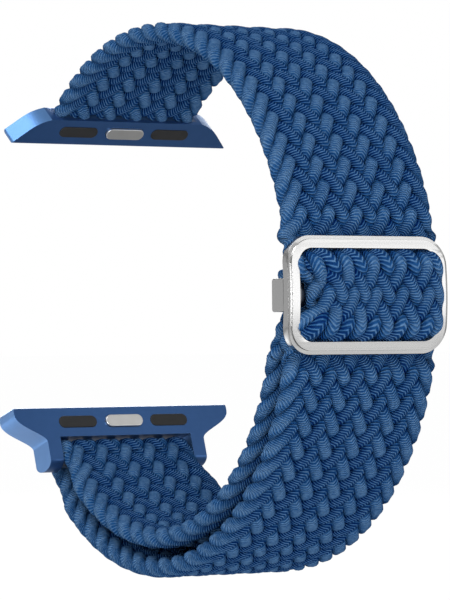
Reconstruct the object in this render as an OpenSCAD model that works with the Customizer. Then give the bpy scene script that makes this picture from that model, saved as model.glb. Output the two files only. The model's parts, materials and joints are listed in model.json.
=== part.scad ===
// Braided elastic watch strap with a sliding buckle and two watch case lugs, worn size.
// The loop's axis runs along X, the buckle faces -Y and the lugs lie on the far side, +Y.
// Angles round the loop start at the bottom: 90 is the far side, 180 the top, 270 the buckle.

/* [Strap] */
// Width of the braided strap
strap_w = 20.5; // [18:0.1:22]
// Thickness of the braid where nothing presses it
strap_t = 2; // [1.8:0.05:2.3]
// Radius of the loop at the middle of the strap
loop_r = 32.25; // [28:0.05:36]
// Thickness of the braid where the buckle presses it
pressed_t = 0.9; // [0.8:0.05:1.4]
// Thickness of the braid where it is folded round the crossbar
folded_t = 0.8; // [0.7:0.05:1.2]
// Amount that each edge draws in where the strap turns round the bar
bar_draw = 0.85; // [0.4:0.05:1.5]
// Amount that each edge draws in where the strap turns round the crossbar
crossbar_draw = 1.3; // [0.3:0.05:1.5]

/* [Lugs] */
// Length of both lugs' noses across the watch case
lug_w = 31.4; // [28:0.1:34]
// Height of the flat inner face, from the nose to the strap
face_h = 3.75; // [3.6:0.05:4.5]
// How far the upper lug's nose bulges past its edges
upper_bulge = 0.6; // [0.1:0.02:0.7]
// How far the lower lug's nose bulges past its edges
lower_bulge = 0.4; // [0.1:0.02:0.5]
// Radius that rounds the noses' corners
nose_corner = 0.8; // [0.3:0.05:1.2]
// Thickness of the upper lug, which holds the strap's fused end
upper_lug_t = 2.8; // [2.7:0.05:3.6]
// Thickness of the lower lug, which the strap turns round
lower_lug_t = 4; // [3.6:0.05:4.6]
// How much of the upper lug's taper is straight, before its shoulders round over to the strap
shoulder_straight = 0.68; // [0.55:0.01:0.8]
// Thickness of the lower lug's two ears
ear_t = 1.9; // [1.6:0.05:2.4]
// How far the ears reach past the middle of the bar
ear_end = 1.05; // [0.9:0.05:1.6]
// Place of the upper lug's mouth round the loop
upper_at = 137; // [134:0.5:140]
// Place of the lower lug's bar round the loop
lower_at = 47.5; // [44:0.5:52]
// Lean of the upper lug from upright
upper_lean = 37; // [32:1:44]
// Lean of the lower lug from upright
lower_lean = 19; // [14:1:30]

/* [Pads and latches] */
// Distance from the nose edge to the middle of the row
row_y = 1.85; // [1.7:0.05:1.95]
// Length of a rubber pad
pad_l = 5.5; // [4.6:0.1:5.8]
// Length of the latch
latch_l = 5.4; // [4.6:0.1:5.8]
// Space between the latch and a pad
pad_space = 1.25; // [1:0.05:1.6]
// Height of a pad and of the latch
pad_h = 1.55; // [1.3:0.05:1.7]
// Depth of a pad's seat in the lug
pad_seat = 0.6; // [0.4:0.05:0.8]
// How far a pad stands proud of the lug's inner face
pad_proud = 0.12; // [0.05:0.01:0.2]
// How far the latch stands proud of the lug's inner face
latch_proud = 0.3; // [0.2:0.01:0.45]
// Travel of the latch when pressed
latch_travel = 0.5; // [0.3:0.05:0.55]

/* [Bar] */
// Diameter of the spring bar's tube
bar_d = 1.3; // [1.2:0.05:1.5]
// Diameter of the spring bar's tips
tip_d = 0.6; // [0.5:0.02:0.66]
// Depth of the tips in the lug's ears
tip_seat = 1.1; // [0.8:0.05:1.2]

/* [Buckle] */
// Place of the buckle's middle round the loop
buckle_at = 269; // [262:0.5:274]
// Height of the buckle's frame
frame_h = 13.5; // [12:0.1:16]
// Width of the frame's bars as seen from the front
frame_bar = 1.42; // [1.2:0.02:1.8]
// Thickness of the frame, measured outwards from the strap
frame_t = 1.3; // [1.1:0.05:1.8]
// Outer corner radius of the frame
frame_corner = 3.3; // [2:0.1:4.5]
// Width of the lower rim round the frame's raised face
rim_w = 0.42; // [0.3:0.02:0.55]
// Step down from the raised face to the rim
rim_drop = 0.3; // [0.15:0.05:0.5]
// Height of the crossbar
crossbar_h = 3.8; // [3:0.1:4.5]
// Thickness of the crossbar
crossbar_t = 0.6; // [0.5:0.05:0.9]
// Thickness of the legs that join the crossbar to the frame
leg_t = 0.62; // [0.5:0.02:1]
// How far a tab at the crossbar stands into the frame's window from each side bar
tab_l = 1; // [0.4:0.05:1.4]
// Height of these tabs
tab_h = 2.7; // [2:0.05:3.5]
// Thickness of these tabs
tab_t = 0.6; // [0.4:0.05:0.9]
// Radius that rounds the crossbar's and the legs' inner edges
crossbar_edge = 0.35; // [0.1:0.05:0.45]
// Angle that the buckle slides up the strap
slide_up = 20; // [5:1:24]
// Angle that the buckle slides down the strap
slide_down = 4; // [2:1:6]

/* [Fits] */
// Clearance between the strap and what it slides on
strap_gap = 0.08; // [0.06:0.01:0.15]
// Clearance between the strap and a lug
lug_gap = 0.2; // [0.1:0.02:0.3]
// Clearance round the latch and its foot
latch_gap = 0.05; // [0.03:0.01:0.1]
// Clearance round the bar's tips and between bar and ears
tip_gap = 0.05; // [0.03:0.01:0.08]
// Clearance round a glued or welded piece
set_gap = 0.02; // [0.01:0.01:0.05]

/* [Hidden] */
$fn = 64;
over = 1;

braid_blue = [0.16, 0.33, 0.55];
lug_blue = [0.22, 0.40, 0.66];
polished = [0.80, 0.80, 0.80];
satin = [0.68, 0.67, 0.64];
rubber_black = [0.10, 0.10, 0.10];

half_strap = strap_w / 2;

// The strap's way round the lower lug's bar
turn_r = bar_d / 2 + strap_gap + strap_t / 2;
bar_r = loop_r - turn_r;
inner_r = bar_r - turn_r;
half_drawn = half_strap - bar_draw;
bar_back = face_h + turn_r + strap_t / 2 + lug_gap;
lower_end = lower_at + 360;
// Angles at which the turns take over from the straight runs
turn_join_angle = 0.5;
fold_join_angle = 12;
// Angles over which the strap stays drawn in beside the ears, and over which it widens again
drawn_flat_angle = 5;
drawn_ramp_angle = 7;

// Layers at the buckle, from the frame inwards
press_shift = 0.43;
pressed_r = loop_r - press_shift;
frame_in = pressed_r + pressed_t / 2 + strap_gap;
over_fold_r = pressed_r - pressed_t / 2 - strap_gap - folded_t / 2;
crossbar_out = over_fold_r - folded_t / 2 - strap_gap;
crossbar_in = crossbar_out - crossbar_t;
fold_ease = 0.1;
fold_turn = (crossbar_t + folded_t) / 2 + strap_gap + fold_ease;
fold_r = over_fold_r - fold_turn;
under_fold_r = fold_r - fold_turn;
fold_at = buckle_at - asin(crossbar_h / 2 / fold_r);
half_folded = half_strap - crossbar_draw;
// Angles round the loop where the fold's outer end lies, where its inner side starts to swell
// and where it has reached the inner run's full thickness
fold_end_angle = buckle_at + 11;
swell_angle = buckle_at + 5;
inner_angle = buckle_at + 14;
join_angle = 0.1;

// Where the outer layer is pressed, so that the buckle can slide
frame_half = atan2(frame_h / 2, frame_in);
press_margin_angle = 1.5;
press_ramp_angle = 5;
pressed_from = buckle_at - frame_half - slide_up - press_margin_angle;
pressed_to = buckle_at + frame_half + slide_down + press_margin_angle;

// The buckle's widths
leg_in = half_strap + strap_gap;
leg_out = leg_in + leg_t;
frame_half_w = leg_out + set_gap;

// The lugs' plan and the row of pads
shoulder_in = half_strap + lug_gap;
shoulder_power = 7;
lip_edge = 0.15;
ear_in = half_drawn + lug_gap;
ear_out = ear_in + ear_t;
flank_from = 0.6;
flank_to = 4.4;
flank_power = 1.3;
pad_pitch = (latch_l + pad_l) / 2 + pad_space;

// The latch below the lug's face: lip over its foot, foot, travel and spring
lip = 0.6;
foot_t = 0.35;
foot_lap = 0.45;
foot_rise = 0.12;
well_r = 0.65;
well_deep = 2.38;
coil_r = 0.48;
wire_r = 0.07;
latch_turns = 4;
foot_floor = lip + foot_t + latch_travel + latch_gap;

// The fused end of the strap inside the upper lug
end_t = strap_t - 0.1;
end_wall = 0.2;
end_from = row_y + pad_h / 2 + foot_rise + latch_gap + end_wall;
tongue_from = 1.2;
tongue_t = 1.2;
tongue_in = latch_l / 2 + foot_lap + 0.35;

// The spring bar
tube_half = ear_in - lug_gap;
tube_wall = 0.18;
tube_bore = bar_d / 2 - tube_wall;
crimp = 0.4;
collar_r = tube_bore - tip_gap;
collar_l = 1.3;
collar_end = tube_half - crimp - tip_gap;
tip_end = ear_in + tip_seat;
bar_coil_r = 0.34;
bar_wire_r = 0.07;
bar_turns = 22;

function radial(a) = [0, sin(a), -cos(a)];
function along(a) = [0, cos(a), sin(a)];
function ease(u) = let (v = min(1, max(0, u))) v * v * (3 - 2 * v);
function mix(a, b, u) = a + (b - a) * u;
function steps(a, b, n) = [for (i = [0:n]) a + (b - a) * i / n];

// The strap's section: flat faces and rounded edges, as width and height from its middle
edge_flat = 1.1;
edge_in = 0.28;
edge_high = 0.72;
function half_section(h, w) = [
  [w - edge_flat, -h], [w - edge_in, -edge_high * h], [w, 0],
  [w - edge_in, edge_high * h], [w - edge_flat, h]
];
function section(h, w) = let (side = half_section(h, w)) concat(
  side, [for (i = [len(side) - 1:-1:0]) [-side[i][0], side[i][1]]]
);
function ring(middle, up, t, w) = [for (p = section(t / 2, w)) middle + p[1] * up + [p[0], 0, 0]];

// Skins a row of rings into one closed solid
module skin(rings) {
  n = len(rings[0]);
  top = (len(rings) - 1) * n;
  sides = [
    for (i = [0:len(rings) - 2], j = [0:n - 1])
      let (a = i * n + j, b = i * n + (j + 1) % n)
        each [[a, b + n, b], [a, a + n, b + n]]
  ];
  ends = [for (j = [1:n - 2]) each [[0, j, j + 1], [top, top + j + 1, top + j]]];
  polyhedron(points = [for (r = rings) each r], faces = concat(sides, ends));
}

// How far the strap is pressed, drawn in and leaned at an angle round the loop
function pressed(a) = min(
  ease((a - pressed_from) / press_ramp_angle + 1), ease((pressed_to - a) / press_ramp_angle + 1)
);
function widened(a) = ease((lower_end - a - drawn_flat_angle) / drawn_ramp_angle);
function half_at(a) = mix(half_drawn, half_strap, widened(a));
lean_ramp_angle = 8;
mouth_lean = 90 + upper_lean - upper_at;
function lean(a) = mouth_lean * ease(1 - (a - upper_at) / lean_ramp_angle);

module strap_outer_run() {
  leaned = upper_at + lean_ramp_angle;
  stations = concat(steps(upper_at, leaned - 2, 3), steps(leaned, lower_end, 87));
  color(braid_blue) skin([
    for (a = stations) let (p = pressed(a)) ring(
      mix(loop_r, pressed_r, p) * radial(a), radial(a + lean(a)), mix(strap_t, pressed_t, p), half_at(a)
    )
  ]);
}

module strap_bar_fold() {
  color(braid_blue) skin([
    for (b = steps(turn_join_angle, 180 - turn_join_angle, 14))
      let (up = cos(b) * radial(lower_at) + sin(b) * along(lower_at))
        ring(bar_r * radial(lower_at) + turn_r * up, up, strap_t, half_drawn)
  ]);
}

module strap_inner_run() {
  color(braid_blue) skin([
    for (a = steps(inner_angle + join_angle, lower_end, 42))
      ring(inner_r * radial(a), radial(a), strap_t, half_at(a))
  ]);
}

module strap_crossbar_fold() {
  over_run = [
    for (a = steps(fold_end_angle, fold_at, 5))
      ring(over_fold_r * radial(a), -radial(a), folded_t, half_folded)
  ];
  turn = [
    for (b = steps(fold_join_angle, 180 - fold_join_angle, 13))
      let (up = sin(b) * along(fold_at) - cos(b) * radial(fold_at))
        ring(fold_r * radial(fold_at) - fold_turn * up, up, folded_t, half_folded)
  ];
  under_run = [
    for (a = concat(steps(fold_at, swell_angle, 3), steps(swell_angle + 2, inner_angle, 3)))
      let (u = ease((a - swell_angle) / (inner_angle - swell_angle)))
        ring(
          mix(under_fold_r, inner_r, u) * radial(a), radial(a),
          mix(folded_t, strap_t, u), mix(half_folded, half_strap, u)
        )
  ];
  color(braid_blue) skin(concat(over_run, turn, under_run));
}

// Places a lug's own frame: y runs from the strap to the nose's edge at 0, z towards the wrist
module at_upper() {
  translate(loop_r * radial(upper_at)) rotate([upper_lean + 90, 0, 0]) rotate([0, 0, 180])
    translate([0, face_h, 0]) children();
}
module at_lower() {
  translate(bar_r * radial(lower_at)) rotate([90 - lower_lean, 0, 0])
    translate([0, bar_back, 0]) children();
}

module block(low, high) {
  translate(low) cube(high - low);
}

// A slot-shaped plate from one height to another
module pill(l, h, low, high) {
  translate([0, -row_y, low]) linear_extrude(height = high - low) {
    square([l - h, h], center = true);
    translate([-(l - h) / 2, 0]) circle(d = h);
    translate([(l - h) / 2, 0]) circle(d = h);
  }
}

// A lug's outline seen from the wrist: half its width at a distance from the nose
function corner(e, bulge) =
  let (u = max(0, 1 - (e + bulge) / nose_corner)) nose_corner * (1 - sqrt(1 - u * u));
function shoulder(e) = let (v = max(0, e / face_h)) mix(
  lug_w / 2, shoulder_in, shoulder_straight * v + (1 - shoulder_straight) * pow(v, shoulder_power)
);
function flank(e) = let (v = max(0, (e - flank_from) / (flank_to - flank_from)))
  mix(lug_w / 2, ear_out, ease(pow(v, flank_power)));
module lug_plan(thick, side) {
  right = concat([[side[0][0], over - side[0][1]]], side);
  left = [for (i = [len(right) - 1:-1:0]) [-right[i][0], right[i][1]]];
  linear_extrude(height = thick + 2 * over, center = true) polygon(concat(right, left));
}

// The same lug's outline seen from its end: a bulging nose and the given rear
module lug_profile(thick, bulge, rear) {
  nose = [for (z = steps(-thick / 2, thick / 2, 10)) [bulge * (1 - pow(2 * z / thick, 2)), z]];
  rotate([90, 0, 90]) linear_extrude(height = lug_w + 2 * over, center = true) polygon(concat(nose, rear));
}

module row_seats(thick) {
  face = thick / 2;
  for (side = [-1, 1])
    translate([side * pad_pitch, 0, 0]) pill(pad_l, pad_h, face - pad_seat, face + over);
  pill(latch_l + 2 * latch_gap, pad_h + 2 * latch_gap, face - lip - latch_gap, face + over);
  pill(
    latch_l + 2 * (foot_lap + latch_gap), pad_h + 2 * (foot_rise + latch_gap), face - foot_floor, face - lip
  );
  translate([0, -row_y, face - well_deep]) cylinder(h = well_deep - lip, r = well_r);
}

module upper_lug_body() {
  half_end = end_t / 2 + set_gap;
  half = upper_lug_t / 2;
  rear = [
    [lip_edge - face_h, half], [-face_h, half - 2 * lip_edge],
    [-face_h, 2 * lip_edge - half], [lip_edge - face_h, -half]
  ];
  color(lug_blue) at_upper() difference() {
    intersection() {
      lug_plan(upper_lug_t, [
        for (e = concat(steps(-upper_bulge, nose_corner, 8), steps(nose_corner + 0.2, face_h, 16)))
          [shoulder(e) - corner(e, upper_bulge), -e]
      ]);
      lug_profile(upper_lug_t, upper_bulge, rear);
    }
    block([-half_strap, -face_h - over, -half_end], [half_strap, -end_from, half_end]);
    for (side = [-1, 1])
      translate([side * (tongue_in + half_strap) / 2, 0, 0])
        block(
          [(tongue_in - half_strap) / 2, -end_from - over / 2, -half_end],
          [(half_strap - tongue_in) / 2, -tongue_from, tongue_t - half_end + 2 * set_gap]
        );
    row_seats(upper_lug_t);
  }
}

module strap_fused_end() {
  inset = half_strap - set_gap;
  color(braid_blue) at_upper() {
    block([-inset, set_gap - face_h, -end_t / 2], [inset, -end_from - set_gap, end_t / 2]);
    for (side = [-1, 1])
      translate([side * (tongue_in + half_strap) / 2, 0, 0])
        block(
          [(tongue_in - half_strap) / 2 + set_gap, -end_from - over / 4, -end_t / 2],
          [(half_strap - tongue_in) / 2 - set_gap, -tongue_from - set_gap, tongue_t - end_t / 2]
        );
  }
}

module lower_lug_body() {
  ear_back = bar_back + ear_end + over;
  rear = [for (t = steps(0, 180, 24)) [-bar_back - ear_end * sin(t), lower_lug_t / 2 * cos(t)]];
  color(lug_blue) at_lower() difference() {
    intersection() {
      lug_plan(lower_lug_t, concat(
        [
          for (e = concat(steps(-lower_bulge, nose_corner, 8), steps(nose_corner + 0.2, flank_to, 16)))
            [flank(e) - corner(e, lower_bulge), -e]
        ],
        [[ear_out, -ear_back]]
      ));
      lug_profile(lower_lug_t, lower_bulge, rear);
    }
    block([-ear_in, -bar_back - lower_lug_t, -lower_lug_t], [ear_in, -face_h, lower_lug_t]);
    translate([0, -bar_back, 0]) rotate([0, 90, 0])
      cylinder(h = 2 * (tip_end + tip_gap), d = tip_d + 2 * tip_gap, center = true);
    row_seats(lower_lug_t);
  }
}

module pad(side, thick) {
  color(rubber_black) translate([side * pad_pitch, 0, 0])
    pill(pad_l - 2 * set_gap, pad_h - 2 * set_gap, thick / 2 - pad_seat + set_gap, thick / 2 + pad_proud);
}

module latch(thick) {
  face = thick / 2;
  color(satin) {
    pill(latch_l, pad_h, face - lip - foot_t, face + latch_proud);
    pill(latch_l + 2 * foot_lap, pad_h + 2 * foot_rise, face - lip - foot_t, face - lip - latch_gap);
  }
}

// A coil along Z from one height to another
module coil(low, high, r, wire, turns) {
  sides = 5;
  each_turn = 11;
  pitch = (high - low - 2 * wire) / turns;
  color(satin) skin([
    for (i = [0:turns * each_turn]) let (a = 360 * i / each_turn, out = [cos(a), sin(a), 0])
      [
        for (j = [0:sides - 1])
          (r + wire * cos(360 * j / sides)) * out
            + [0, 0, low + wire + pitch * i / each_turn - wire * sin(360 * j / sides)]
      ]
  ]);
}

module latch_spring(thick) {
  translate([0, -row_y, 0])
    coil(thick / 2 - well_deep + set_gap, thick / 2 - lip - foot_t - set_gap, coil_r, wire_r, latch_turns);
}

module upper_pad_left() { at_upper() pad(1, upper_lug_t); }
module upper_pad_right() { at_upper() pad(-1, upper_lug_t); }
module upper_latch() { at_upper() latch(upper_lug_t); }
module upper_latch_spring() { at_upper() latch_spring(upper_lug_t); }
module lower_pad_left() { at_lower() pad(-1, lower_lug_t); }
module lower_pad_right() { at_lower() pad(1, lower_lug_t); }
module lower_latch() { at_lower() latch(lower_lug_t); }
module lower_latch_spring() { at_lower() latch_spring(lower_lug_t); }

module at_bar() {
  translate(bar_r * radial(lower_at)) rotate([0, 90, 0]) children();
}

module bar_tube() {
  color(satin) at_bar() difference() {
    cylinder(h = 2 * tube_half, d = bar_d, center = true);
    cylinder(h = 2 * (tube_half - crimp), r = tube_bore, center = true);
    cylinder(h = 2 * (tube_half + over), d = tip_d + 2 * tip_gap, center = true);
  }
}

module bar_tip() {
  translate([0, 0, collar_end - collar_l]) cylinder(h = collar_l, r = collar_r);
  translate([0, 0, collar_end - collar_l / 2]) cylinder(h = tip_end - collar_end + collar_l / 2, d = tip_d);
}
module bar_tip_left() { color(satin) at_bar() rotate([180, 0, 0]) bar_tip(); }
module bar_tip_right() { color(satin) at_bar() bar_tip(); }

module bar_spring() {
  reach = collar_end - collar_l - set_gap;
  at_bar() coil(-reach, reach, bar_coil_r, bar_wire_r, bar_turns);
}

module rounded(w, h, r) {
  square([w - 2 * r, h], center = true);
  square([w, h - 2 * r], center = true);
  for (sx = [-1, 1], sz = [-1, 1]) translate([sx * (w / 2 - r), sz * (h / 2 - r)]) circle(r = r);
}

// A rounded outline, drawn in by an inset, pushed through the buckle's front
module front_prism(inset, r) {
  translate([0, -loop_r / 2, 0]) rotate([90, 0, 0])
    linear_extrude(height = loop_r) rounded(2 * (frame_half_w - inset), frame_h - 2 * inset, r);
}
module drum(r, half) {
  rotate([0, 90, 0]) cylinder(h = 2 * half, r = r, center = true, $fn = 200);
}

module at_buckle() {
  rotate([buckle_at - 270, 0, 0]) children();
}

// The two tabs that stand into the window, level with the frame's back
module frame_tabs() {
  reach = frame_half_w - frame_bar;
  difference() {
    intersection() {
      drum(frame_in + tab_t, reach + frame_bar / 2);
      block([-frame_half_w, -2 * loop_r, -tab_h / 2], [frame_half_w, -loop_r / 2, tab_h / 2]);
    }
    drum(frame_in, frame_half_w);
    block([tab_l - reach, -3 * loop_r, -tab_h], [reach - tab_l, 0, tab_h]);
  }
}

module buckle_frame() {
  color(polished) at_buckle() {
    difference() {
      intersection() {
        drum(frame_in + frame_t, frame_half_w + over);
        front_prism(0, frame_corner);
      }
      drum(frame_in, frame_half_w + 2 * over);
      front_prism(frame_bar, frame_corner - frame_bar);
      difference() {
        drum(frame_in + 2 * frame_t, frame_half_w + 2 * over);
        drum(frame_in + frame_t - rim_drop, frame_half_w + 3 * over);
        front_prism(rim_w, frame_corner - rim_w);
      }
    }
    frame_tabs();
  }
}

module buckle_crossbar() {
  deep = 2 * (frame_in - crossbar_in);
  color(polished) at_buckle() difference() {
    intersection() {
      drum(frame_in - set_gap, leg_out);
      translate([0, -crossbar_in - deep / 2, 0]) rotate([90, 0, 90])
        linear_extrude(height = 2 * leg_out, center = true) rounded(deep, crossbar_h, crossbar_edge);
    }
    drum(crossbar_in, leg_out + over);
    difference() {
      drum(frame_in + over, leg_in);
      drum(crossbar_out, leg_in + over);
    }
  }
}

strap_outer_run();
strap_bar_fold();
strap_inner_run();
strap_crossbar_fold();
strap_fused_end();
buckle_frame();
buckle_crossbar();
upper_lug_body();
upper_pad_left();
upper_pad_right();
upper_latch();
upper_latch_spring();
lower_lug_body();
lower_pad_left();
lower_pad_right();
lower_latch();
lower_latch_spring();
bar_tube();
bar_tip_left();
bar_tip_right();
bar_spring();
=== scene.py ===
# %% [markdown]
# # A braided watch strap
# A flat braid of 21 elastic cords runs once round the wrist, through a small metal buckle, round a
# spring bar in one blue lug and back to the buckle. Both lugs slide into a watch case. This lesson
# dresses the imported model: the cords are wound one by one, and the metal parts are the packed
# solids with softened edges. Everything is worked out in millimetres and written in metres.

import json

import bmesh
import bpy
import numpy as np
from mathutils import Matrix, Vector
from mathutils.bvhtree import BVHTree


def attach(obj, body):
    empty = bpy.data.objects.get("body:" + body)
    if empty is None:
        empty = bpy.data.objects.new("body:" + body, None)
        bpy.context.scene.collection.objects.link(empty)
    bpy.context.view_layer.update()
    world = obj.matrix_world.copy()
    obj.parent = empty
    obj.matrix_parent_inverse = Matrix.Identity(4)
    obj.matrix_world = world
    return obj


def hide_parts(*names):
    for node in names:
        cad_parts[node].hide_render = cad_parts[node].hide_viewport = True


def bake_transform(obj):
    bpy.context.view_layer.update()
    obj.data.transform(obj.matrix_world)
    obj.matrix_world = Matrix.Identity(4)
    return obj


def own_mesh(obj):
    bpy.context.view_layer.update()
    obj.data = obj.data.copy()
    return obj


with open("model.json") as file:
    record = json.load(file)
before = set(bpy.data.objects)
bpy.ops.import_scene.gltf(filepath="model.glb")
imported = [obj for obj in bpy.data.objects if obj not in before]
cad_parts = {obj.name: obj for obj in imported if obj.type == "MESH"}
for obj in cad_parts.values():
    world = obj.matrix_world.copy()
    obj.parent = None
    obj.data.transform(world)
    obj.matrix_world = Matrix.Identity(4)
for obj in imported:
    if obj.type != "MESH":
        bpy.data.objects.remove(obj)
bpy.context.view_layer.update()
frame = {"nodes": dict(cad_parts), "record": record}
MM = 0.001
body_of = {n: b for b, members in frame["record"]["behaviour"]["bodies"].items() for n in members}
print("packed nodes:", len(frame["nodes"]))

# %% [markdown]
# ## The strap's way
# Seen from its edge the strap is one line: from the upper lug over the top, out through the
# buckle's window, round the bottom to the spring bar, back on the inside, and round the buckle's
# crossbar. A row of that line holds a point, the direction out of the strap's front, half the
# strap's width, its thickness, how far its middle stands out like a pillow, and how far its left
# edge is pressed in. Angles start at the bottom of the loop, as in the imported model:
# 90 is the far side, 180 the top and 270 the buckle. The way could be a curve drawn by hand, but
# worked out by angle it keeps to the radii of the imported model.

# %% Measures of the strap, in millimetres, and in degrees round the loop
LOOP_R = 32.25
INNER_R = 28.75
BAR_R = (LOOP_R + INNER_R) / 2
TURN_R = (LOOP_R - INNER_R) / 2
UPPER_AT = 137.0
BUCKLE_AT = 269.0
FOLD_FROM = 283
BAR_AT = 407.5
HALF_W = 10.25
THICK = 2.56
NARROWER_AT_BAR = 0.85
THINNER_AT_BAR = 0.3
EARS_REACH, EARS_FADE = 5, 7
OUTER_STEP, INNER_STEP = 0.1, 0.15
print("strap", 2 * HALF_W, "mm wide and", THICK, "mm thick")


# %% Helpers for the line
def out(angle):
    """The direction out of the loop's middle at an angle in radians."""
    return np.stack([np.sin(angle), -np.cos(angle)], -1)


def along(angle):
    """The direction round the loop at an angle in radians."""
    return np.stack([np.cos(angle), np.sin(angle)], -1)


def ease(x):
    """0 below 0, 1 above 1, and smooth between them."""
    x = np.clip(x, 0, 1)
    return x * x * (3 - 2 * x)


def fronts(point):
    """The direction out of the strap's front, square to the line through these points."""
    step = np.gradient(point, axis=0)
    step /= np.linalg.norm(step, axis=1)[:, None]
    return np.column_stack([step[:, 1], -step[:, 0]])


def beside_bar(at):
    """1 between the lower lug's ears, and 0 further along the strap."""
    return ease(1 - (BAR_AT - at - EARS_REACH) / EARS_FADE)


def rows(point, front, half, thick, pillow=0, pinch=0):
    """The line's rows for these points."""
    n = len(point)
    cell = [np.broadcast_to(np.asarray(c, float), (n,)) for c in (half, thick, pillow, pinch)]
    return np.column_stack([point, front, *cell])


# %% The outer layer, which is pressed by the buckle's bars and swells out of its window
PRESS_AT, PRESS_HALF, PRESS_FADE = 6.05, 0.8, 2.4
PRESSED_IN, PRESSED_THINNER = 0.43, 1.5
SWELL, SWELL_HALF, SWELL_FADE = 2.4, 5.7, 3.1
PINCH, PINCH_HALF, PINCH_FADE = 1.95, 3.6, 2.3
WAIST, WAIST_HALF, WAIST_FADE = 0.1, 9, 3
MOUTH_REACH, MOUTH_LEAN = 9, -10


def outer_run():
    """From the upper lug's mouth to the spring bar. far is the way to the buckle's middle in mm."""
    at = np.arange(UPPER_AT, BAR_AT, OUTER_STEP)
    far = np.abs(LOOP_R * np.radians(at - BUCKLE_AT))
    press = ease(1 - (np.abs(far - PRESS_AT) - PRESS_HALF) / PRESS_FADE)
    swell = SWELL * ease((SWELL_HALF - far) / SWELL_FADE)
    pinch = PINCH * ease((PINCH_HALF - far) / PINCH_FADE)
    beside = beside_bar(at)
    point = out(np.radians(at)) * (LOOP_R - PRESSED_IN * press)[:, None]
    front = fronts(point)
    lean = np.radians(MOUTH_LEAN) * ease(1 - (at - UPPER_AT) / MOUTH_REACH)
    front = np.column_stack(
        [
            front[:, 0] * np.cos(lean) - front[:, 1] * np.sin(lean),
            front[:, 0] * np.sin(lean) + front[:, 1] * np.cos(lean),
        ]
    )
    half = HALF_W - WAIST * ease((WAIST_HALF - far) / WAIST_FADE) - NARROWER_AT_BAR * beside
    thick = THICK - PRESSED_THINNER * press - THINNER_AT_BAR * beside
    return rows(point, front, half, thick, swell, pinch)


# %% The turn round the spring bar
SQUARENESS = 2.7


def bar_fold():
    """A turn a little squarer than a half circle, so that it fills the slot under the lug's lip."""
    bend = np.radians(np.arange(0.5, 180, 1))
    cos, sin = np.cos(bend), np.sin(bend)
    square = TURN_R * (np.abs(cos) ** SQUARENESS + sin**SQUARENESS) ** (-1 / SQUARENESS)
    outward, onward = out(np.radians(BAR_AT)), along(np.radians(BAR_AT))
    point = BAR_R * outward + (square * cos)[:, None] * outward + (square * sin)[:, None] * onward
    return rows(point, fronts(point), HALF_W - NARROWER_AT_BAR, THICK - THINNER_AT_BAR)


# %% The inner layer, from the spring bar back to the buckle
def inner_run():
    """The same way back on the inner radius, with its front to the inside."""
    at = np.arange(BAR_AT, FOLD_FROM, -INNER_STEP)
    turn = np.radians(at)
    beside = beside_bar(at)
    half = HALF_W - NARROWER_AT_BAR * beside
    thick = THICK - THINNER_AT_BAR * beside
    return rows(out(turn) * INNER_R, -out(turn), half, thick)


# %% The fold round the buckle's crossbar
FOLD_R, FOLD_TURN, FOLD_AT = 30.01, 0.88, 265.37
FOLD_HALF, FOLD_THICK, FOLD_FADE = 8.95, 1.0, 9
FUSED_AT, FOLD_TURN_STEP = 280, 4


def crossbar_fold():
    """Thins out on its way to the crossbar, turns round it and goes back on its outer side."""
    at = np.arange(FOLD_FROM, FOLD_AT, -INNER_STEP)
    thin = ease((FOLD_FROM - at) / FOLD_FADE)
    under = rows(
        out(np.radians(at)) * (INNER_R + (FOLD_R - FOLD_TURN - INNER_R) * thin)[:, None],
        -out(np.radians(at)),
        HALF_W + (FOLD_HALF - HALF_W) * thin,
        THICK + (FOLD_THICK - THICK) * thin,
    )
    bend = np.radians(np.arange(0, 180, FOLD_TURN_STEP))[:, None]
    front = -(np.cos(bend) * out(np.radians(FOLD_AT)) + np.sin(bend) * along(np.radians(FOLD_AT)))
    turn = rows(FOLD_R * out(np.radians(FOLD_AT)) + FOLD_TURN * front, front, FOLD_HALF, FOLD_THICK)
    back = np.radians(np.arange(FOLD_AT, FUSED_AT, INNER_STEP))
    over = rows(out(back) * (FOLD_R + FOLD_TURN), out(back), FOLD_HALF, FOLD_THICK)
    return np.vstack([under, turn, over])


# %% Join the stretches and measure the line
stretches = [outer_run(), bar_fold(), inner_run(), crossbar_fold()]
way = np.vstack(stretches)
hop = np.linalg.norm(np.diff(way[:, :2], axis=0), axis=1)
way_s = np.concatenate([[0], np.cumsum(hop)])
row_ends = np.cumsum([len(s) for s in stretches])
after_outer, after_fold, after_inner = (way_s[e] for e in row_ends[:3])
WINDOW_REACH = 11.5
WINDOW = (BUCKLE_AT - WINDOW_REACH, BUCKLE_AT + WINDOW_REACH)
window_from, window_to = (way_s[int((edge - UPPER_AT) / OUTER_STEP)] for edge in WINDOW)
print("strap length", round(way_s[-1], 1), "mm; outer layer", round(after_outer, 1), "mm")

# %% [markdown]
# ## Winding the cords
# A woven picture on a flat band would do from afar. Up close the cords stand out, roll round the
# edges and leave pits between them, so each cord is a tube of its own.
#
# In a flat braid every cord wanders from edge to edge and back. Here it moves one lane for each
# 1.55 mm of strap, and crosses over two cords and under two. At an edge it rolls from the front to
# the back. So one formula gives a cord's place across the strap and its height over the strap's
# middle, and the other cords are the same cord, two lanes later each. A cord's section is a flat
# oval whose thin side faces out of the strap, and out sideways while it rolls round an edge. It is
# wider where it dives between its neighbours, which closes the braid, and where the buckle presses
# it. Two marks go with the points for the cord's finish, and both are used to paint light: bare is
# 1 where the cord lies open on a face or an edge, and lower where it dives, where the finish paints
# shade; across is high where it runs across the picture, and low where it stands and at the left
# edge, where the finish paints a sheen.

# %% One cord's path through the braid
CORDS = 21
LANE_S = 1.55
ROLL = 0.8
DIVE = 1.3
print("a cord is back at its edge after", round(2 * CORDS * LANE_S, 1), "mm of strap")


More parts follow.
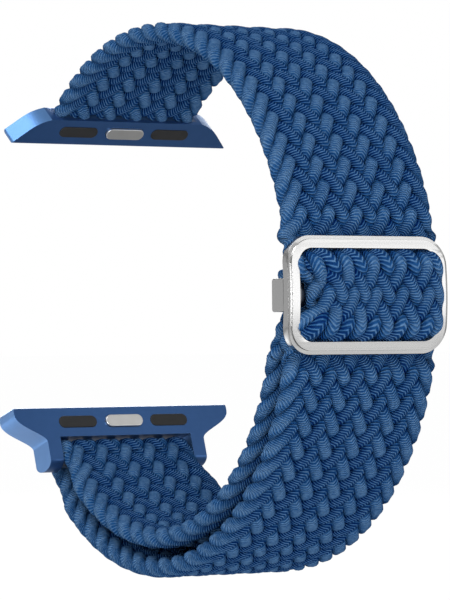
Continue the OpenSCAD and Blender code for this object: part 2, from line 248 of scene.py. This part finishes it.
def lane(turned):
    """Lane of a cord that left the left edge this many lanes ago, with rounded turns."""
    from_left = np.minimum(turned, 2 * CORDS - turned)
    from_right = CORDS - from_left
    soft_left = (from_left**2 + ROLL**2) / (2 * ROLL)
    soft_right = (from_right**2 + ROLL**2) / (2 * ROLL)
    place = np.where(from_left < ROLL, soft_left, from_left)
    return np.where(from_right < ROLL, CORDS - soft_right, place)


def height(turned):
    """1 over the other cords and -1 under them."""
    leg = np.mod(turned, CORDS)
    counted = np.where(leg < 1, leg / 2, np.where(leg > CORDS - 1, leg / 2 + CORDS / 2 - 1, leg - 0.5))
    counted = counted + np.where(turned >= CORDS, CORDS - 1, 0)
    return np.tanh(-DIVE * np.sin(np.pi * counted / 2)) / np.tanh(DIVE)


def rolled(turned):
    """How far a cord has rolled: 0 on its way left, 1 on its way right."""
    signed = np.where(turned > 1.5 * CORDS, turned - 2 * CORDS, turned)
    return ease((signed + 1) / 2) * (1 - ease((signed - CORDS + 1) / 2))


# %% A cord as rings of points
SIDES = 12
ASIDE = np.array([0.849, -0.529, 0])
THIN_SHARE = 0.262
OPEN_HALF, DIVING_HALF, PRESSED_WIDER = 0.8, 0.93, 0.5
PILLOW_DROP, PILLOW_POWER = 1.1, 8
# The last of these lowers the across mark at the left edge, where the finish then paints a sheen.
EDGE_FROM, EDGE_FADE, EDGE_SHEEN = 0.8, 0.14, 0.85
OVAL = 0.85
ring_at = np.linspace(0, 2 * np.pi, SIDES + 1)


def oval(wave):
    """A sine wave made a little squarer."""
    return np.sign(wave) * np.abs(wave) ** OVAL


def cord_rings(number, s):
    """The rings of one cord at these lengths along the strap, with its two marks."""
    turned = np.mod(s / LANE_S - 2 * number, 2 * CORDS)
    y, z, fy, fz, half, thick, pillow, pinch = (np.interp(s, way_s, way[:, i]) for i in range(8))
    size = np.hypot(fy, fz)
    fy, fz = fy / size, fz / size
    thin = THIN_SHARE * thick
    span = 2 * (half - thin) / (CORDS - ROLL)
    off_centre = lane(turned) - CORDS / 2
    x = off_centre * span
    at_edge = ease((np.abs(off_centre) / (CORDS / 2) - EDGE_FROM) / EDGE_FADE)
    near_edge = np.where(off_centre < 0, at_edge, 0)
    lift = height(turned)
    pressed = 1 + PRESSED_WIDER * (1 - thick / THICK)
    wide = half / HALF_W * pressed * (DIVING_HALF - (DIVING_HALF - OPEN_HALF) * np.abs(lift))
    v = (thick / 2 - thin) * lift + pillow * (1 - PILLOW_DROP * np.abs(x / half) ** PILLOW_POWER)
    x = x * np.where(x < 0, 1 - pinch / half, 1)
    middle = np.column_stack([x, y + v * fy, z + v * fz])
    tangent = np.gradient(middle, axis=0)
    tangent /= np.linalg.norm(tangent, axis=1)[:, None]
    roll = np.pi / 2 + np.pi * rolled(turned)
    face = np.column_stack([np.cos(roll), np.sin(roll) * fy, np.sin(roll) * fz])
    face -= tangent * np.sum(face * tangent, axis=1)[:, None]
    face /= np.linalg.norm(face, axis=1)[:, None]
    side = np.cross(tangent, face)
    rings = (
        middle[:, None]
        + face[:, None] * (thin[:, None] * oval(np.cos(ring_at)))[..., None]
        + side[:, None] * (wide[:, None] * oval(np.sin(ring_at)))[..., None]
    )
    # The across mark is low where a cord stands in the picture; the finish paints a sheen there.
    bare = np.maximum(np.abs(lift), at_edge)
    return rings, np.column_stack([bare, np.abs(tangent @ ASIDE) * (1 - EDGE_SHEEN * near_edge)])


# %% Many cords as one mesh
# A cord is about a quarter longer than its stretch of strap. The UV map allows for a little less,
# so that one of its units is just over a centimetre of cord.
RING_STEP = 0.19
UV_PER_STRAP = 1.19
MM_PER_CM = 10


def wind(name, start, end):
    """Winds every cord of one stretch: grids are rolled into tubes, welded and closed."""
    count = max(int(round((end - start) / RING_STEP)), 4)
    s = np.linspace(start, end, count + 1)
    bm = bmesh.new()
    bm.loops.layers.uv.verify()
    for _ in range(CORDS):
        bmesh.ops.create_grid(bm, x_segments=count, y_segments=SIDES, size=1, calc_uvs=True)
    mesh = bpy.data.meshes.new(name)
    bm.to_mesh(mesh)
    bm.free()
    flat = np.zeros(len(mesh.vertices) * 3)
    mesh.vertices.foreach_get("co", flat)
    flat = flat.reshape(CORDS, -1, 3)
    i = np.rint((flat[..., 0] + 1) / 2 * count).astype(int)
    j = np.rint((flat[..., 1] + 1) / 2 * SIDES).astype(int)
    place = np.zeros_like(flat)
    marks = np.zeros((*flat.shape[:2], 2))
    for number in range(CORDS):
        rings, marked = cord_rings(number, s)
        place[number] = rings[i[number], j[number]]
        marks[number] = marked[i[number]]
    mesh.vertices.foreach_set("co", (place * MM).ravel())
    for n, mark in enumerate(("bare", "across")):
        mesh.attributes.new(mark, "FLOAT", "POINT").data.foreach_set("value", marks[..., n].ravel())
    bm = bmesh.new()
    bm.from_mesh(mesh)
    bmesh.ops.remove_doubles(bm, verts=bm.verts, dist=1e-8)
    bmesh.ops.holes_fill(bm, edges=[e for e in bm.edges if e.is_boundary], sides=0)
    bmesh.ops.recalc_face_normals(bm, faces=bm.faces)
    uv = bm.loops.layers.uv.verify()
    for face in bm.faces:
        face.smooth = True
    for loop in (loop for face in bm.faces for loop in face.loops):
        loop[uv].uv.x *= UV_PER_STRAP * (end - start) / MM_PER_CM
    bm.to_mesh(mesh)
    bm.free()
    piece = bpy.data.objects.new(name, mesh)
    bpy.context.scene.collection.objects.link(piece)
    print(name, "triangles", sum(len(p.vertices) - 2 for p in mesh.polygons))
    return piece


# %% [markdown]
# ## Hanging the braid on the moving parts
# A piece follows one body, or blends between two, so the braid is wound in six stretches. The
# buckle slides round the loop, so the stretch in its window and the fold round its crossbar ride
# with it. The turn round the spring bar hangs on the strap's body, and the other stretches stay
# where they are wound.

# %% The stretches of the braid
upper = wind("braid_upper", 0, window_from)
window = wind("braid_window", window_from, window_to)
lower = wind("braid_lower", window_to, after_outer)
turn_round_bar = wind("braid_bar_turn", after_outer, after_fold)
inner = wind("braid_inner", after_fold, after_inner)
crossbar = wind("braid_crossbar_fold", after_inner, way_s[-1])


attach(window, "buckle")
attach(crossbar, "buckle")
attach(turn_round_bar, "strap")
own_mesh(turn_round_bar)
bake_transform(upper)
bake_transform(lower)
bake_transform(inner)
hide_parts("strap_outer_run")
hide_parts("strap_outer_run")
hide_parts("strap_outer_run")
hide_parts("strap_bar_fold")
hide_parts("strap_inner_run")
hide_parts("strap_crossbar_fold")

# %% [markdown]
# ## Soft edges on the metal
# The imported solids of lugs, pads, latches and buckle have the right shape but knife edges, and
# their triangles are loose, so that a bevel finds no edge between them. So a copy is welded, its
# flat faces are made whole, and its sharp edges are bevelled. They then catch the light in a thin
# line as real edges do. On a lug three sorts of faces get a finish of their own: the bevels, which
# are a paler blue that paints a highlight along them, the bevels round the pads and the latch,
# which are bare metal, and the flanks, which are paler than the face as a painted reflection.

# %% Measures of the soft edges, in millimetres and degrees
WELD = 0.002
FLAT_ANGLE, SHARP_ANGLE, SHADED_ANGLE, TIP_ANGLE = 1, 32, 40, 34.4
TIP_REACH, TIP_RADIUS, TIP_STEPS = 0.05, 0.5, 6
LUG_RADIUS, SMALL_RADIUS, FRAME_RADIUS = 0.12, 0.1, 0.16
BEVEL_STEPS = 3
RIM_REACH = 0.25
FLANK_FACING = 0.3
EDGE, RIM, FLANK = 1, 2, 3


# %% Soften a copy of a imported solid
def soften_tips(bm):
    """Rounds the lug's two ends."""
    tip = max(v.co.x for v in bm.verts) - TIP_REACH * MM
    tips = [
        e
        for e in bm.edges
        if all(abs(v.co.x) > tip for v in e.verts) and e.calc_face_angle(0) > np.radians(TIP_ANGLE)
    ]
    bmesh.ops.bevel(
        bm,
        geom=tips,
        offset=TIP_RADIUS * MM,
        segments=TIP_STEPS,
        profile=0.5,
        affect="EDGES",
        clamp_overlap=True,
    )


def mark_lug_faces(bm, rims):
    """Gives the flanks, and the bevels beside these nodes, the numbers of their own finishes."""
    for face in bm.faces:
        if abs(face.normal.x) > FLANK_FACING:
            face.material_index = FLANK
    for rim in rims:
        nearby = BVHTree.FromObject(frame["nodes"][rim], bpy.context.evaluated_depsgraph_get())
        for face in (face for face in bm.faces if face.material_index == EDGE):
            if nearby.find_nearest(face.calc_center_median(), RIM_REACH * MM)[0]:
                face.material_index = RIM


def softened(node, radius, rims=()):
    """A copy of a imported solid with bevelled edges. A lug has rims, the nodes in its pockets."""
    bm = bmesh.new()
    bm.from_mesh(frame["nodes"][node].data)
    bmesh.ops.remove_doubles(bm, verts=bm.verts, dist=WELD * MM)
    bmesh.ops.dissolve_limit(
        bm, angle_limit=np.radians(FLAT_ANGLE), verts=bm.verts, edges=bm.edges
    )
    if rims:
        soften_tips(bm)
    sharp = np.radians(SHARP_ANGLE)
    edges = [e for e in bm.edges if len(e.link_faces) == 2 and e.calc_face_angle(0) > sharp]
    bmesh.ops.bevel(
        bm,
        geom=edges,
        offset=radius * MM,
        offset_type="OFFSET",
        segments=BEVEL_STEPS,
        profile=0.5,
        affect="EDGES",
        clamp_overlap=True,
        material=EDGE if rims else -1,
    )
    if rims:
        mark_lug_faces(bm, rims)
    for face in bm.faces:
        face.smooth = True
    mesh = bpy.data.meshes.new(node + "_soft")
    bm.to_mesh(mesh)
    bm.free()
    mesh.set_sharp_from_angle(angle=np.radians(SHADED_ANGLE))
    piece = bpy.data.objects.new(node + "_soft", mesh)
    bpy.context.scene.collection.objects.link(piece)
    weigh = piece.modifiers.new("even shading", "WEIGHTED_NORMAL")
    weigh.keep_sharp = True
    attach(piece, body_of[node])
    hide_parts(node)
    print(piece.name, "bevelled edges", len(edges), "faces", len(mesh.polygons))
    return piece


# %% The metal and rubber pieces
ENDS = ("upper", "lower")
lugs = []
for end in ENDS:
    in_pockets = [f"{end}_pad_left", f"{end}_pad_right", f"{end}_latch"]
    lugs.append(softened(f"{end}_lug_body", LUG_RADIUS, in_pockets))
pads = [
    softened(f"{end}_pad_{side}", SMALL_RADIUS)
    for end in ENDS
    for side in ("left", "right")
]
latches = [softened(f"{end}_latch", SMALL_RADIUS) for end in ENDS]
buckle = [
    softened("buckle_frame", FRAME_RADIUS),
    softened("buckle_crossbar", LUG_RADIUS),
]

# %% [markdown]
# ## Springs
# Each latch sits on a small spring, and one long spring pushes both tips of the bar apart. A spring
# could be wound anew, but a copy of the imported one already has the right turns. The long one is
# cut in the middle, one half for each tip, and each copy prints how much of its length it would
# keep with its latch or tip pressed in.


# %% Springs
def sprung(node, joint, part=""):
    """A copy of a spring, or of half of one cut square to this joint's axis, on the spring's own body.
    """
    axis = joints[joint]["axis"]
    bm = bmesh.new()
    bm.from_mesh(frame["nodes"][node].data)
    bmesh.ops.remove_doubles(bm, verts=bm.verts, dist=WELD * MM)
    if part:
        geom = [*bm.verts, *bm.edges, *bm.faces]
        cut = bmesh.ops.bisect_plane(bm, geom=geom, plane_co=(0, 0, 0), plane_no=axis, clear_outer=True)
        rim = [e for e in cut["geom_cut"] if isinstance(e, bmesh.types.BMEdge)]
        bmesh.ops.holes_fill(bm, edges=rim, sides=0)
    bmesh.ops.recalc_face_normals(bm, faces=bm.faces)
    axis = Vector(axis).normalized()
    reach = [v.co.dot(axis) for v in bm.verts]
    piece_mesh = bpy.data.meshes.new(node + part)
    bm.to_mesh(piece_mesh)
    bm.free()
    piece = bpy.data.objects.new(f"{node}{part}_wire", piece_mesh)
    bpy.context.scene.collection.objects.link(piece)
    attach(piece, body_of[node])
    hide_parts(node)
    travel = joints[joint]["range_m"][1]
    keep = 1 - travel / (max(reach) - min(reach))
    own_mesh(piece)
    print(piece.name, "keeps", round(keep, 2), "of its length")
    return piece


joints = {j["name"]: j for j in frame["record"]["behaviour"]["joints"]}
springs = [sprung(f"{end}_latch_spring", f"{end}_latch_press") for end in ENDS]
springs += [sprung("bar_spring", f"bar_tip_{side}_push", "_" + side) for side in ("left", "right")]

# %% [markdown]
# ## Finishes
# Each finish is a small node tree. A class wraps a node's output, so that shader maths can be
# written as plain sums, and one method adds any other node.


# %% Shader maths as sums
class Value:
    """A number, colour or vector on its way through a finish."""

    def __init__(self, finish, socket):
        self.finish = finish
        self.socket = socket

    def maths(self, operation, *values):
        return self.finish.add("ShaderNodeMath", {"operation": operation}, dict(enumerate(values)))

    def __add__(self, other):
        return self.maths("ADD", self, other)

    def __sub__(self, other):
        return self.maths("SUBTRACT", self, other)

    def __rsub__(self, other):
        return self.maths("SUBTRACT", other, self)

    def __mul__(self, other):
        return self.maths("MULTIPLY", self, other)

    def __abs__(self):
        return self.maths("ABSOLUTE", self)

    def sine(self):
        return self.maths("SINE", self)

    def between(self, low, high):
        """0 below low, 1 above high, and smooth between them."""
        return self.finish.add(
            "ShaderNodeMapRange", {"interpolation_type": "SMOOTHSTEP"}, {0: self, 1: low, 2: high}
        )

    __radd__ = __add__
    __rmul__ = __mul__


class Finish:
    """A material with one Principled shader, whose constants are set on its own sockets."""

    def __init__(self, name, **constants):
        self.material = bpy.data.materials.new(name)
        self.material.use_nodes = True
        self.nodes = self.material.node_tree.nodes
        self.shader = self.nodes["Principled BSDF"]
        for socket, value in constants.items():
            self.shader.inputs[socket.replace("_", " ")].default_value = value

    def add(self, kind, settings=(), sockets=(), output=0):
        node = self.nodes.new(kind)
        for key, value in dict(settings).items():
            setattr(node, key, value)
        for key, value in dict(sockets).items():
            if isinstance(value, Value):
                self.material.node_tree.links.new(value.socket, node.inputs[key])
            else:
                node.inputs[key].default_value = value
        return Value(self, node.outputs[output])

    def mix(self, factor, low, high):
        return self.add("ShaderNodeMix", {"data_type": "RGBA"}, {0: factor, 6: low, 7: high}, 2)

    def place(self):
        return self.add("ShaderNodeTexCoord", output=3)

    def noise(self, scale, detail=3):
        sockets = {"Vector": self.place(), "Scale": scale, "Detail": detail}
        return self.add("ShaderNodeTexNoise", {}, sockets)

    def bump(self, height, strength, distance):
        sockets = {"Height": height, "Strength": strength, "Distance": distance}
        return self.add("ShaderNodeBump", {}, sockets)

    def feed(self, socket, value):
        self.material.node_tree.links.new(value.socket, self.shader.inputs[socket])

    def put_on(self, *pieces):
        for piece in pieces:
            if piece.data.materials:
                piece.data.materials.clear()
            piece.data.materials.append(self.material)


# %% [markdown]
# ### The braid's blue cords
# Each cord is itself a fine round braid, which shows as small chevrons along it. At more than 30
# to the centimetre they are too fine to model, so they are left to the finish. The cord's own UV
# map runs along it in about a centimetre for each unit, and once round it, so a sine wave that
# leans away from the cord's middle line gives the chevrons. They go into the bump and into the
# colour, with some fine noise for the fibres. The bare mark paints shade on cords where they dive
# under their neighbours, and a cord's narrow sides, where it meets them, are painted darker as
# shade. The across mark paints how the light falls on the cords: cords that run across the picture
# are painted darker with strong chevrons, and cords that stand get a painted sheen and are smoother.
# The tone goes from a dark blue, which takes the painted shade, over the cord's own blue to a pale
# one, which takes the painted sheen, in two mixes, and the fibres have no shine.

# %% Cord finish
cord = Finish("blue_cord", Roughness=0.72, Specular_IOR_Level=0.0)
run = cord.add("ShaderNodeSeparateXYZ", {}, {0: cord.add("ShaderNodeUVMap", {}, {})})
round_it = Value(cord, run.socket.node.outputs[1])
off_middle = abs(round_it - 0.5)
RIBS_PER_UNIT, RIB_LEAN, RIB_DEPTH = 35.0, 6.0, 0.0002
# Chevrons painted darker on cords that run across the picture, and a sheen painted on standing ones.
RIB_TONE, RIB_SHADE_ACROSS = 0.2, 0.34
DIVE_SHADE, CORD_SIDE_SHADE, STANDING_SHEEN, DARKER = 0.24, 0.12, 0.4, 0.345
rib = ((run * RIBS_PER_UNIT + off_middle * RIB_LEAN) * (2 * np.pi)).sine() * 0.5 + 0.5
across = cord.add("ShaderNodeAttribute", {"attribute_name": "across"}, {}, 2).between(0.1, 0.75)
# Where the bare mark is low a cord dives under its neighbours, and the finish paints shade there.
bare_cord = cord.add("ShaderNodeAttribute", {"attribute_name": "bare"}, {}, 2)
out_of_dive_shade = bare_cord.between(0.1, 0.95)
# Darker towards a cord's narrow sides: painted shade where it meets its neighbours.
flat_side_lit = (abs(off_middle * 2.0 - 0.5) * 2.0).between(0.15, 0.85)
patch = cord.noise(420, 2) * 0.12 + cord.noise(2200, 2) * 0.35
hatch = rib * (across * RIB_SHADE_ACROSS + RIB_TONE)
shade = hatch + out_of_dive_shade * DIVE_SHADE + flat_side_lit * CORD_SIDE_SHADE + patch
# Standing cords and the left edge get a painted sheen.
shade = shade + (1.0 - across) * STANDING_SHEEN - DARKER
# The dark end takes the chevrons' grooves and the painted shade, the pale end their ridges and the
# painted sheen.
CORD_DARK_SHADE = (0.0001, 0.005, 0.052, 1)
CORD_BLUE = (0.0115, 0.063, 0.175, 1)
CORD_PALE_SHEEN = (0.092, 0.17, 0.29, 1)
body_blue = cord.mix(shade.between(0.0, 0.9), CORD_DARK_SHADE, CORD_BLUE)
cord.feed("Base Color", cord.mix(shade.between(0.52, 1.05), body_blue, CORD_PALE_SHEEN))
cord.feed("Normal", cord.bump(rib + cord.noise(2500, 2) * 0.3, 1.0, RIB_DEPTH))
cord.put_on(upper, window, lower, turn_round_bar, inner, crossbar)
print("nodes in the cord finish", len(cord.nodes))

# %% [markdown]
# ### Metal and rubber
# The lugs are blasted aluminium with a satin blue finish, paler on the flanks as a painted
# reflection and along the edges as a painted highlight.
# The buckle is polished steel with fine streaks along its bars, with painted shade on its sides and
# where the crossbar's tab lies in the window's shade. Latches and springs are satin steel, and the
# pads are plain black rubber. Grain is too fine to model as well, so it is a noise in the normal.

# %% The lugs' finishes
GRAIN = 0.00002


def mottled(name, scale, low, high, **constants):
    """A finish whose colour varies between two near ones."""
    finish = Finish(name, **constants)
    finish.feed("Base Color", finish.mix(finish.noise(scale), low, high))
    return finish


blue = mottled(
    "satin_blue", 900, (0.03, 0.084, 0.22, 1), (0.036, 0.095, 0.245, 1), Metallic=0.8, Roughness=0.34
)
blue.feed("Normal", blue.bump(blue.noise(9000, 2), 0.12, GRAIN))
blue.put_on(*lugs)

# The lugs' bevels: a paler blue that paints a highlight along the edges.
edge_highlight_blue = mottled(
    "painted_highlight_blue_edge", 900, (0.16, 0.28, 0.5, 1), (0.2, 0.33, 0.56, 1), Metallic=0.8, Roughness=0.3
)
bare = mottled(
    "bare_rim", 900, (0.4, 0.45, 0.54, 1), (0.5, 0.55, 0.62, 1), Metallic=0.9, Roughness=0.3
)
# The lugs' flanks: a paler blue that paints the reflection they catch.
flank_reflection_blue = mottled(
    "painted_reflection_flank_blue", 900, (0.06, 0.15, 0.33, 1), (0.07, 0.17, 0.37, 1), Metallic=0.8, Roughness=0.38
)
flank_reflection_blue.feed("Normal", flank_reflection_blue.bump(flank_reflection_blue.noise(9000, 2), 0.12, GRAIN))
for lug in lugs:
    for finish in (edge_highlight_blue, bare, flank_reflection_blue):
        lug.data.materials.append(finish.material)
print("finishes of a lug:", [m.name for m in lugs[0].data.materials])

# %% Polished steel of the buckle
STREAK_SCALE = (60, 2400, 2400)
TAB_END, TAB_MIDDLE, TAB_EDGE = (0.0088, 0.0096), 0.0005, (0.0024, 0.0026)
BAR_END, SHADED_SIDES_FROM = (0.0085, 0.0095), (0.0104, 0.0109)
STEEL_DULL, STEEL_BRIGHT = (0.53, 0.53, 0.53, 1), (0.6, 0.6, 0.595, 1)
STEEL_SIDE_SHADE, STEEL_SHADED = (0.2, 0.2, 0.2, 1), (0.02, 0.025, 0.035, 1)
steel = Finish("polished_steel", Metallic=1.0, Roughness=0.26)
stretched = {0: steel.place(), 1: STREAK_SCALE}
streak = steel.add("ShaderNodeVectorMath", {"operation": "MULTIPLY"}, stretched)
streaks = steel.add("ShaderNodeTexNoise", {}, {"Vector": streak, "Scale": 1.0, "Detail": 2})
spot = steel.add("ShaderNodeSeparateXYZ", {}, {0: steel.place()})
height_on = Value(steel, spot.socket.node.outputs[2])
# Painted shade where the crossbar's tab lies in the window.
inside = 1.0 - abs(spot).between(*TAB_END)
tab_shade = inside * (1.0 - abs(height_on - TAB_MIDDLE).between(*TAB_EDGE))
bars = 1.0 - abs(spot).between(*BAR_END)
metal = steel.mix(streaks.between(0.3, 0.7) * bars + 0.3, STEEL_DULL, STEEL_BRIGHT)
# Painted shade on the buckle's sides.
metal = steel.mix(abs(spot).between(*SHADED_SIDES_FROM), metal, STEEL_SIDE_SHADE)
steel.feed("Base Color", steel.mix(tab_shade, metal, STEEL_SHADED))
steel.feed("Normal", steel.bump(steel.noise(4000, 2), 0.06, GRAIN))
steel.put_on(*buckle)
print("nodes in the steel", len(steel.nodes))

# %% Satin steel, rubber and the strap's fused end
satin = mottled(
    "satin_steel", 700, (0.55, 0.545, 0.53, 1), (0.64, 0.635, 0.62, 1), Metallic=1.0, Roughness=0.38
)
satin.feed("Normal", satin.bump(satin.noise(6000, 2), 0.1, GRAIN))
satin.put_on(*latches)
satin.put_on(*springs, *(frame["nodes"][n] for n in ("bar_tube", "bar_tip_left", "bar_tip_right")))

rubber = mottled(
    "black_rubber",
    800,
    (0.008, 0.008, 0.008, 1),
    (0.016, 0.016, 0.016, 1),
    Roughness=0.6,
    Specular_IOR_Level=0.25,
)
rubber.feed("Normal", rubber.bump(rubber.noise(5000, 2), 0.15, GRAIN))
rubber.put_on(*pads)

fused = mottled("fused_cord", 900, (0.01, 0.035, 0.1, 1), (0.02, 0.06, 0.16, 1), Roughness=0.5)
fused.put_on(frame["nodes"]["strap_fused_end"])
print("materials, with those of the packed model:", len(bpy.data.materials))

# %% [markdown]
# ## Camera, floor and light
# The camera stands level with the buckle, 420 mm from the loop's middle and 32 degrees to the left
# of its front, as in the photo. The floor and the world are white to the camera and light the strap
# softly. Polished metal in an all white room would have no edges, so metal sees them darker in
# places: the floor is a grey card near the strap, with a brighter pool behind the strap's left
# side, and the world is darker below the horizon.

# %% Camera
TURN = np.radians(31.93)
AWAY, SHIFT = 0.42, 0.0012
SENSOR, LENS = 36, 206.2
look = Vector((np.sin(TURN), np.cos(TURN), 0))
aside = Vector((np.cos(TURN), -np.sin(TURN), 0))
camera = bpy.data.objects.new("camera", bpy.data.cameras.new("camera"))
bpy.context.scene.collection.objects.link(camera)
camera.location = -AWAY * look + SHIFT * aside
camera.rotation_mode = "QUATERNION"
camera.rotation_quaternion = look.to_track_quat("-Z", "Y")
camera.data.sensor_width = SENSOR
camera.data.lens = LENS
camera.data.clip_start, camera.data.clip_end = 0.02, 20
bpy.context.scene.camera = camera
print("camera at", [round(c, 3) for c in camera.location])

# %% Floor
FLOOR_Z, FLOOR_HALF = -0.062, 3
bm = bmesh.new()
bmesh.ops.create_grid(bm, x_segments=1, y_segments=1, size=FLOOR_HALF)
bmesh.ops.translate(bm, verts=bm.verts, vec=(0, 0, FLOOR_Z))
floor_mesh = bpy.data.meshes.new("floor")
bm.to_mesh(floor_mesh)
bm.free()
floor = bpy.data.objects.new("floor", floor_mesh)
bpy.context.scene.collection.objects.link(floor)
pale = Finish("pale_floor", Roughness=0.9)
pale.shader.inputs["Base Color"].default_value = (0.8, 0.8, 0.8, 1)

# %% What camera and reflections see of the floor
CARD_EDGE, CARD_GREY, CARD_PALER = (0.09, 0.17), 0.3, 0.6
POOL_FRONT, POOL_BACK, POOL_SIDE, POOL_GLOW = (0.03, 0.07), (0.13, 0.22), (-0.01, 0.02), 1.6
WHITE_SHARE = 0.985
seen = pale.add("ShaderNodeLightPath")
mirrored = Value(pale, seen.socket.node.outputs["Is Glossy Ray"])
away = pale.add("ShaderNodeVectorMath", {"operation": "LENGTH"}, {0: pale.place()}, 1)
behind = pale.add("ShaderNodeSeparateXYZ", {}, {0: pale.place()}, 1)
beside = Value(pale, behind.socket.node.outputs[0])
pool = behind.between(*POOL_FRONT) * (1.0 - behind.between(*POOL_BACK))
pool = pool * (1.0 - beside.between(*POOL_SIDE))
card = away.between(*CARD_EDGE) * CARD_PALER + CARD_GREY + pool * POOL_GLOW
glow = pale.add("ShaderNodeEmission", {}, {"Color": (1, 1, 1, 1), "Strength": card * mirrored + seen})
matt = Value(pale, pale.shader.outputs[0])
sockets = {0: seen * WHITE_SHARE + mirrored, 1: matt, 2: glow}
blend_in = pale.add("ShaderNodeMixShader", {}, sockets)
pale.material.node_tree.links.new(blend_in.socket, pale.nodes["Material Output"].inputs["Surface"])
pale.put_on(floor)
print("floor at", FLOOR_Z, "m, nodes in its finish", len(pale.nodes))

# %% World
DAYLIGHT, WHITE = 0.62, 1.0
MIRRORED_RISE = {1: -0.6, 2: 0.6, 3: 0.2, 4: 0.6}
world = bpy.data.worlds.new("studio")
world.use_nodes = True
bpy.context.scene.world = world
tree = world.node_tree
ground = tree.nodes["Background"]
ground.inputs["Color"].default_value = (1, 1, 1, 1)
ray = tree.nodes.new("ShaderNodeTexCoord")
split = tree.nodes.new("ShaderNodeSeparateXYZ")
tree.links.new(ray.outputs["Generated"], split.inputs[0])
rise = tree.nodes.new("ShaderNodeMapRange")
tree.links.new(split.outputs[2], rise.inputs[0])
for socket, value in MIRRORED_RISE.items():
    rise.inputs[socket].default_value = value
path = tree.nodes.new("ShaderNodeLightPath")
glossy = tree.nodes.new("ShaderNodeMix")
tree.links.new(path.outputs["Is Glossy Ray"], glossy.inputs[0])
glossy.inputs[2].default_value = DAYLIGHT
tree.links.new(rise.outputs[0], glossy.inputs[3])
dim = tree.nodes.new("ShaderNodeMix")
tree.links.new(path.outputs["Is Camera Ray"], dim.inputs[0])
tree.links.new(glossy.outputs[0], dim.inputs[2])
dim.inputs[3].default_value = WHITE
tree.links.new(dim.outputs[0], ground.inputs["Strength"])
bpy.context.scene.view_settings.view_transform = "Standard"
print("world nodes", len(tree.nodes))


# %% Lamps
def lamp(name, place, size, power):
    """A round soft lamp at this place that looks at the strap."""
    light = bpy.data.lights.new(name, "AREA")
    light.shape = "DISK"
    light.size = size
    light.energy = power
    thing = bpy.data.objects.new(name, light)
    bpy.context.scene.collection.objects.link(thing)
    thing.location = place
    thing.rotation_mode = "QUATERNION"
    thing.rotation_quaternion = (-Vector(place)).to_track_quat("-Z", "Y")


lamp("key", (-0.3, -0.35, 0.65), 0.4, 3.2)
lamp("top", (-0.42, 0.2, 0.65), 0.4, 2.6)
lamp("front", (-0.33, -0.56, 0.02), 0.3, 3.5)
lamp("fill", (0.36, -0.56, 0.02), 0.5, 0.9)
lamp("rim", (0.2, 0.52, 0.26), 0.5, 4)
lamp("side", (-0.36, 0.55, 0.05), 0.35, 0.32)
print("lamps", len(bpy.data.lights))
